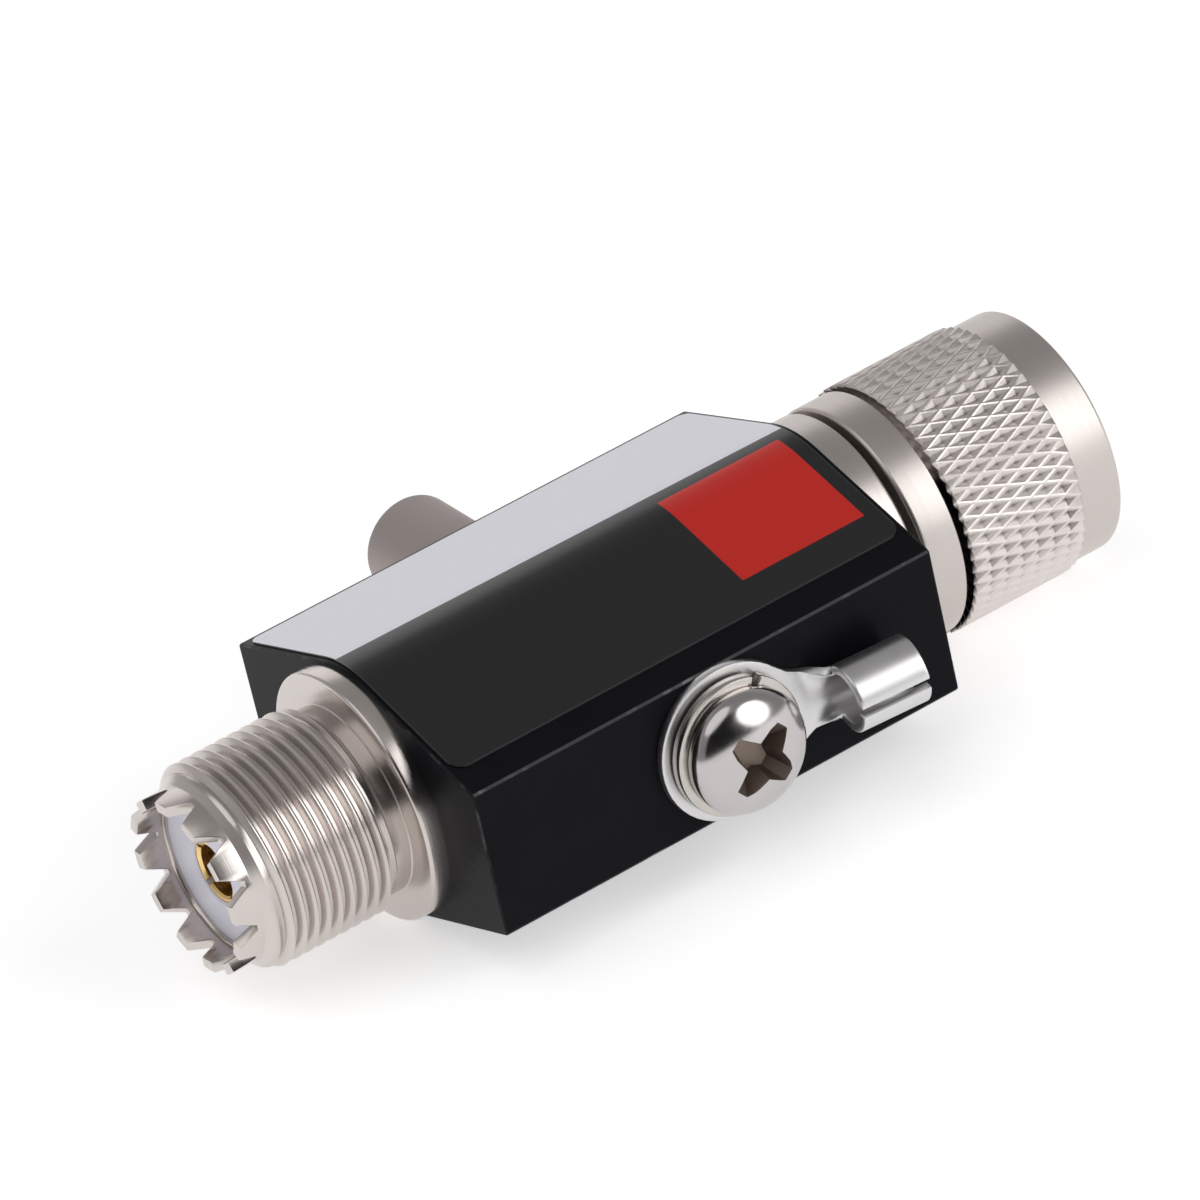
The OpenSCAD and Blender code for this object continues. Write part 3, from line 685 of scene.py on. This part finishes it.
def worked(bm, *steps):
    """Runs modifiers over a bmesh, each given as its kind and its settings, and returns the result."""
    mesh = bpy.data.meshes.new("blank")
    bm.to_mesh(mesh)
    bm.free()
    blank = bpy.data.objects.new("blank", mesh)
    bpy.context.scene.collection.objects.link(blank)
    for kind, settings in steps:
        step = blank.modifiers.new(kind.lower(), kind)
        for name, value in settings.items():
            setattr(step, name, value)
    done = blank.evaluated_get(bpy.context.evaluated_depsgraph_get())
    bm = bmesh.new()
    bm.from_mesh(done.to_mesh())
    done.to_mesh_clear()
    bpy.data.objects.remove(blank)
    bpy.data.meshes.remove(mesh)
    return bm


def struck_out(bm, *cutters):
    """Cuts each of some bmeshes out of another and returns what is left."""
    tools = []
    for cutter in cutters:
        bmesh.ops.recalc_face_normals(cutter, faces=cutter.faces)
        mesh = bpy.data.meshes.new("cutter")
        cutter.to_mesh(mesh)
        cutter.free()
        tools.append(bpy.data.objects.new("cutter", mesh))
        bpy.context.scene.collection.objects.link(tools[-1])
    bmesh.ops.recalc_face_normals(bm, faces=bm.faces)
    cuts = [("BOOLEAN", {"operation": "DIFFERENCE", "solver": "EXACT", "object": tool}) for tool in tools]
    bm = worked(bm, *cuts)
    for tool in tools:
        mesh = tool.data
        bpy.data.objects.remove(tool)
        bpy.data.meshes.remove(mesh)
    bmesh.ops.remove_doubles(bm, verts=bm.verts, dist=1e-6)
    return bm


cap_low, cap_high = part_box("tube_cap")
cap_l = (cap_high.y - cap_low.y) / mm
cap_r, cap_bore, cap_end, cap_edge, cap_lead = 3.84, 3.0, 2.0, 0.6, 0.3
slot_l, slot_w, slot_h = 5.4, 1.2, 1.0
cap = bmesh.new()
spun(cap, [
    (0, cap_bore), (0, cap_r - cap_lead), (cap_lead, cap_r),
    *rounded(cap_l - cap_edge, cap_r - cap_edge, cap_edge, 90, 0, 6),
    (cap_l, 0), (cap_l - cap_end, 0), (cap_l - cap_end, cap_bore),
])
coin_slot = bmesh.new()
bmesh.ops.create_cube(coin_slot, size=1)
bmesh.ops.scale(coin_slot, vec=Vector((2 * slot_h, slot_w, slot_l)) * mm, verts=coin_slot.verts)
slot_corners = [e for e in coin_slot.edges if abs(e.verts[0].co.x - e.verts[1].co.x) > slot_h * mm]
bmesh.ops.bevel(
    coin_slot, geom=slot_corners, offset=0.45 * slot_w * mm, segments=6, profile=0.5, affect="EDGES", material=-1,
)
bmesh.ops.translate(coin_slot, vec=(cap_l * mm, 0, 0), verts=coin_slot.verts)
cap = struck_out(cap, coin_slot)
bmesh.ops.rotate(cap, cent=(0, 0, 0), matrix=Matrix.Rotation(math.pi / 2, 3, "Z"), verts=cap.verts)
bmesh.ops.translate(cap, vec=((cap_low.x + cap_high.x) / 2, cap_low.y, 0), verts=cap.verts)
dress(cap, "slotted_cap", "cap", "nickel", cap_nickel, "tube_cap")

# Ring terminal
# One piece of tinned copper sheet: a ring punched for the screw, a waisted neck, and a barrel rolled up from
# the sheet for the earth wire, with its seam left open. The washer and the screw clamp it to the near flat.
screw_low, screw_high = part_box("ground_screw")
cross_x = (screw_low.x + screw_high.x) / 2
sheet_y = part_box("ring_terminal")[1].y
hole_r, ring_r, ring_edge_w, sheet_t, neck_half, curve_r = 2.64, 5.9, 0.3, 0.7, 2.5, 5.0
neck_x = math.sqrt((ring_r + curve_r) ** 2 - (neck_half + curve_r) ** 2)
barrel_x, barrel_z, barrel_r, barrel_l, barrel_edge_w = neck_x + 0.6, 0.133, 2.55, 5.5, 0.25
barrel_lift, curl_turn, seam_gap, seam_step = math.radians(5), 64.4, 2.4, 5.4
waist, curl = math.radians(43.2), math.radians(curl_turn)
waist_x, flat_x = ring_r * math.cos(waist), 6.5


def tinned(place):
    cloud, drawn = place.noise(420, 4), place.noise(3800, 3, (0.25, 1, 1))
    return {
        "Base Color": cloud.tint((0.62, 0.61, 0.615, 1), (0.7, 0.69, 0.695, 1)),
        "Roughness": 0.27 + 0.08 * cloud + 0.07 * drawn,
        "Normal": (0.2 * cloud + 0.5 * drawn).relief(0.004 * mm, 0.5),
    }


tin = new_finish("tin_plate", tinned, Metallic=1.0)
sheet = bmesh.new()
hole = bmesh.ops.create_circle(sheet, cap_ends=False, radius=hole_r * mm, segments=50)["verts"]


ring_in = ring_r - ring_edge_w
ring_edge = push_out(sheet, loop_of(hole), lambda vert: vert.co * (ring_in / hole_r))
ring_edge = push_out(sheet, ring_edge, lambda vert: vert.co * (ring_r / ring_in))
share = sheet.verts.layers.float.new("share_of_width")
for vert in sheet.verts:
    vert[share] = math.atan2(vert.co.y, vert.co.x) / waist


def neck_row(vert, part):
    """A flat row of the neck, from the ring's round edge at part 0 to a straight line at part 1."""
    edge_x = waist_x + (flat_x - waist_x) * part
    half = neck_half + curve_r - math.sqrt(curve_r**2 - (neck_x - edge_x) ** 2)
    ring_x = ring_r * math.cos(waist * vert[share])
    return Vector((ring_x + (flat_x - ring_x) * part, half * vert[share], 0)) * mm


def curl_row(vert, part):
    """A row that leaves the flat neck and closes into the lower arc of the barrel at part 1."""
    x = flat_x + (barrel_x - flat_x) * part
    half = neck_half + curve_r - math.sqrt(curve_r**2 - max(0, neck_x - x) ** 2)
    bend = part * part * (3 - 2 * part)
    half += (barrel_r * curl - half) * bend
    turn, lean = curl * bend, barrel_lift * bend
    across = half / turn * math.sin(turn * vert[share])
    height = half / turn * (1 - math.cos(turn * vert[share]))
    return Vector((x - math.sin(lean) * height, across, barrel_z * bend + math.cos(lean) * height)) * mm


row = [e for e in ring_edge if all(abs(v[share]) < 1.01 for v in e.verts)]
for part in (0.35, 0.7, 1.0):
    row = push_out(sheet, row, lambda vert: neck_row(vert, part))
for part in (0.2, 0.4, 0.6, 0.8, 1.0):
    row = push_out(sheet, row, lambda vert: curl_row(vert, part))
axis_way = Vector((math.cos(barrel_lift), 0, math.sin(barrel_lift)))
axis_up = Vector((-math.sin(barrel_lift), 0, math.cos(barrel_lift)))
barrel_mid = (Vector((barrel_x, 0, barrel_z)) + axis_up * barrel_r) * mm
barrel_rows = (barrel_edge_w, barrel_l - 2 * barrel_edge_w, barrel_edge_w)
for length in barrel_rows:
    row = push_out(sheet, row, lambda vert: vert.co + axis_way * length * mm)
ends = [v for e in row for v in e.verts]


def runs_back(edge, vert):
    """True for an open edge that leaves a vertex along the barrel, towards the ring."""
    way = (edge.other_vert(vert).co - vert.co).normalized()
    return edge.is_boundary and way.dot(axis_way) < -0.999


for side, seam in ((1, 183), (-1, 177)):
    vert = max(ends, key=lambda v: side * v.co.y)
    line, verts = [], [vert]
    for _ in barrel_rows:
        line.append(next(e for e in vert.link_edges if runs_back(e, vert)))
        vert = line[-1].other_vert(vert)
        verts.append(vert)
    bmesh.ops.spin(
        sheet, geom=verts + line, cent=barrel_mid, axis=axis_way,
        angle=side * math.radians(seam - curl_turn - seam_gap), steps=round((seam - curl_turn) / seam_step),
    )
bmesh.ops.remove_doubles(sheet, verts=sheet.verts, dist=1e-6)
bmesh.ops.recalc_face_normals(sheet, faces=sheet.faces)
flat_face = min(sheet.faces, key=lambda f: f.calc_center_median().x)
if flat_face.normal.z > 0:
    bmesh.ops.reverse_faces(sheet, faces=sheet.faces)
sheet = worked(sheet, ("SOLIDIFY", {"thickness": sheet_t * mm, "offset": -1, "use_even_offset": True}))
break_edges(sheet, corner_edges(sheet, 60), 0.09 * mm)
bmesh.ops.rotate(sheet, cent=(0, 0, 0), matrix=Matrix.Rotation(math.pi / 2, 3, "X"), verts=sheet.verts)
bmesh.ops.translate(sheet, vec=(cross_x, sheet_y, 0), verts=sheet.verts)
dress(sheet, "earth_terminal", "terminal", "tinned_copper", tin, "ring_terminal", crease=38)

# Spring washer
# A split ring of square spring steel, its ends sprung apart, zinc plated. It lies between the terminal's ring
# and the screw's head and keeps the joint tight.
washer_low, washer_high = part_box("spring_washer")
washer_bore, washer_r, washer_rise, washer_steps, split, gap = 2.64 * mm, 5.2 * mm, 0.2 * mm, 80, 62, 9
washer_t = washer_high.y - washer_low.y - washer_rise
washer = bmesh.new()
section = [
    washer.verts.new((washer_bore, 0, 0)), washer.verts.new((washer_r, 0, 0)),
    washer.verts.new((washer_r, -washer_t, 0)), washer.verts.new((washer_bore, -washer_t, 0)),
]
sides = [washer.edges.new(pair) for pair in zip(section, section[1:] + section[:1])]
turn_to_start = Matrix.Rotation(-math.radians(split - gap / 2), 3, "Y")
bmesh.ops.rotate(washer, cent=(0, 0, 0), matrix=turn_to_start, verts=section)
bmesh.ops.spin(
    washer, geom=section + sides, cent=(0, 0, 0), axis=(0, 1, 0), dvec=(0, -washer_rise / washer_steps, 0),
    angle=math.radians(360 - gap), steps=washer_steps,
)
bmesh.ops.holes_fill(washer, edges=[e for e in washer.edges if e.is_boundary], sides=4)
bmesh.ops.translate(washer, vec=(cross_x, washer_high.y, 0), verts=washer.verts)
bmesh.ops.recalc_face_normals(washer, faces=washer.faces)
break_edges(washer, corner_edges(washer, 60), 0.12 * mm)


def zinc(place):
    cloud, drawn = place.noise(700, 4), place.noise(5000, 2, (1, 0.1, 1))
    return {
        "Base Color": cloud.tint((0.48, 0.45, 0.42, 1), (0.6, 0.57, 0.535, 1)),
        "Roughness": 0.14 + 0.12 * drawn,
        "Normal": (cloud + 0.3 * drawn).relief(0.008 * mm, 0.5),
    }


zinc_plate = new_finish("zinc_plate", zinc, Metallic=1.0)
dress(washer, "split_washer", "washer", "spring_steel", zinc_plate, "spring_washer", crease=35)

# Earth screw
# A pan head machine screw, cold headed and bright plated, so the head is a smooth dome with a cross recess
# struck into it. It goes through the washer and the terminal into the body.
head_r, head_h, head_rim, head_edge, screw_r, screw_tip, screw_l = 4.65, 2.9, 0.7, 0.3, 2.44, 0.5, 8.4
recess_span, recess_w, recess_waist, recess_h, recess_turn = 6.3, 1.05, 2.8, 2.0, math.radians(50)
dome_h = head_h - head_rim
under_y = screw_high.y - screw_l * mm
recess_painted_shade = (0.19, 0.145, 0.115, 1)


def bright_plate(place):
    cloud, smear = place.noise(500, 3), place.noise(1500, 3, (1, 0.4, 1))
    x, z = place.axis("X") - cross_x, place.axis("Z")
    out = (x * x + z * z) * (1 / (head_r * mm) ** 2)
    high = (under_y - head_rim * mm - place.axis("Y")) * (1 / (dome_h * mm))
    struck = (out + high * high).between(0.97, 0.9) * (high > 0.02)
    finish = {
        "Base Color": cloud.tint((0.5, 0.475, 0.47, 1), (0.56, 0.53, 0.525, 1)),
        "Roughness": 0.13 + 0.08 * smear + 0.3 * struck,
        "Normal": (cloud + 0.2 * struck * place.noise(2500, 3)).relief(0.006 * mm, 0.5),
    }
    # Painted shade: the inside of the cross recess is darkened to brown.
    return toned(finish, 0.9 * struck, recess_painted_shade)


screw_plate = new_finish("screw_plate", bright_plate, Metallic=1.0)
dome_turns = [math.radians(a) for a in range(0, 90, 5)]
screw = bmesh.new()
spun(screw, [
    (-screw_l, 0), (-screw_l, screw_r - screw_tip), (screw_tip - screw_l, screw_r), (0, screw_r),
    (0, head_r - head_edge), (0.09, head_r - 0.09), (head_edge, head_r),
    *[(head_rim + dome_h * math.sin(a), head_r * math.cos(a)) for a in dome_turns], (head_h, 0),
], 128)
cutters = []
for quarter in range(2):
    wing = bmesh.new()
    bmesh.ops.create_cube(wing, size=1)
    slice_at(wing, (0, 0, 0), (0, 1, 0))
    bmesh.ops.scale(wing, vec=(2 * recess_h, recess_span, recess_w), verts=wing.verts)
    for vert in wing.verts:
        deep = vert.co.x < 0
        vert.co.z *= (0.75 if deep else 1.25) * (recess_waist / recess_w if abs(vert.co.y) < 0.01 else 1)
        vert.co.y *= 0.45 if deep else 1.55
    turn = Matrix.Rotation(quarter * math.pi / 2, 3, "X")
    bmesh.ops.rotate(wing, cent=(0, 0, 0), matrix=turn, verts=wing.verts)
    cutters.append(wing)
point = bmesh.new()
bmesh.ops.create_cone(
    point, cap_ends=True, segments=32, radius1=0.5 * recess_w, radius2=0.36 * recess_span, depth=2 * recess_h,
)
bmesh.ops.rotate(point, cent=(0, 0, 0), matrix=Matrix.Rotation(math.pi / 2, 3, "Y"), verts=point.verts)
cutters.append(point)
for cutter in cutters:
    bmesh.ops.translate(cutter, vec=(head_h, 0, 0), verts=cutter.verts)
    bmesh.ops.scale(cutter, vec=(mm, mm, mm), verts=cutter.verts)
screw = struck_out(screw, *cutters)
bmesh.ops.rotate(screw, cent=(0, 0, 0), matrix=Matrix.Rotation(-math.pi / 2, 3, "Z"), verts=screw.verts)
bmesh.ops.rotate(screw, cent=(0, 0, 0), matrix=Matrix.Rotation(recess_turn, 3, "Y"), verts=screw.verts)
bmesh.ops.translate(screw, vec=(cross_x, under_y, 0), verts=screw.verts)
dress(screw, "earth_screw", "screw", "screw_steel", screw_plate, "ground_screw", crease=28)

# Studio
# A pale floor under the part, a large soft light at the camera's right, a broad one overhead to the left, a weak
# one behind, and a grey room that is dark behind the camera and paler low at the back. The camera is a long lens
# set where the photograph was taken from.
floor_half, floor_drop = 1.5, 0.2 * mm
floor = bmesh.new()
bmesh.ops.create_grid(floor, x_segments=1, y_segments=1, size=floor_half)
bmesh.ops.translate(floor, vec=(0, 0, cad_box[0][2] - floor_drop), verts=floor.verts)
floor_mesh = bpy.data.meshes.new("floor")
floor.to_mesh(floor_mesh)
floor.free()
floor_paper = new_finish(
    "floor_paper", lambda p: {"Base Color": p.noise(30, 2).tint((0.86, 0.86, 0.86, 1), (0.88, 0.88, 0.88, 1))},
    Roughness=0.9, Emission_Color=(1, 1, 1, 1), Emission_Strength=0.54,
)
floor_mesh.materials.append(floor_paper)
floor_piece = bpy.data.objects.new("floor", floor_mesh)
bpy.context.scene.collection.objects.link(floor_piece)


part_middle = Vector((-0.026, 0, 0))


def soft_light(name, way, distance, width, height, power):
    """An oval light facing the part from a direction."""
    lamp = bpy.data.lights.new(name, "AREA")
    lamp.shape, lamp.size, lamp.size_y, lamp.energy = "ELLIPSE", width, height, power
    made = bpy.data.objects.new(name, lamp)
    bpy.context.scene.collection.objects.link(made)
    made.location = part_middle + Vector(way).normalized() * distance
    made.rotation_euler = Vector(way).to_track_quat("Z", "Y").to_euler()


soft_light("near_light", (0.472, -0.746, 0.469), distance=0.8, width=0.6, height=0.76, power=2.7)
soft_light("top_light", (-0.4, -0.1, 0.9), distance=0.9, width=1.0, height=0.9, power=1.7)
soft_light("far_light", (0.3, 0.9, 0.33), distance=1.0, width=0.9, height=0.6, power=0.75)
world = bpy.context.scene.world or bpy.data.worlds.new("room")
bpy.context.scene.world = world
world.use_nodes = True
room = world.node_tree
way = Shade(room.nodes.new("ShaderNodeTexCoord").outputs["Generated"])
behind_camera = way.node("VectorMath", {"operation": "DOT_PRODUCT"}, {0: way, 1: (-0.3, -0.9, 0.3)}, "Value")
dark_side = behind_camera.between(0.7, 0.8)
low_back = way.axis("Y").between(-0.2, 0.6) * way.axis("Z").between(0.85, 0.25)
level = (0.32 + 0.2 * low_back) * (1 - 0.96 * dark_side)
room_tone = level.tint((0, 0, 0, 1), (1, 0.985, 0.99, 1))
room.links.new(room_tone.socket, room.nodes["Background"].inputs["Color"])
room.nodes["Background"].inputs["Strength"].default_value = 1.0

lens = bpy.data.cameras.new("camera")
lens.sensor_width, lens.lens = 36, 266.93
lens.clip_start, lens.clip_end = 0.01, 10
camera = bpy.data.objects.new("camera", lens)
bpy.context.scene.collection.objects.link(camera)
right = Vector((0.81082, -0.55098, -0.19746))
up = Vector((0.43106, 0.33393, 0.83826))
back = Vector((-0.39593, -0.76479, 0.50827))
camera_place = Matrix.Translation((-0.27388, -0.47758, 0.32229))
camera.matrix_world = camera_place @ Matrix((right, up, back)).transposed().to_4x4()
bpy.context.scene.camera = camera
bpy.context.scene.view_settings.view_transform = "Standard"
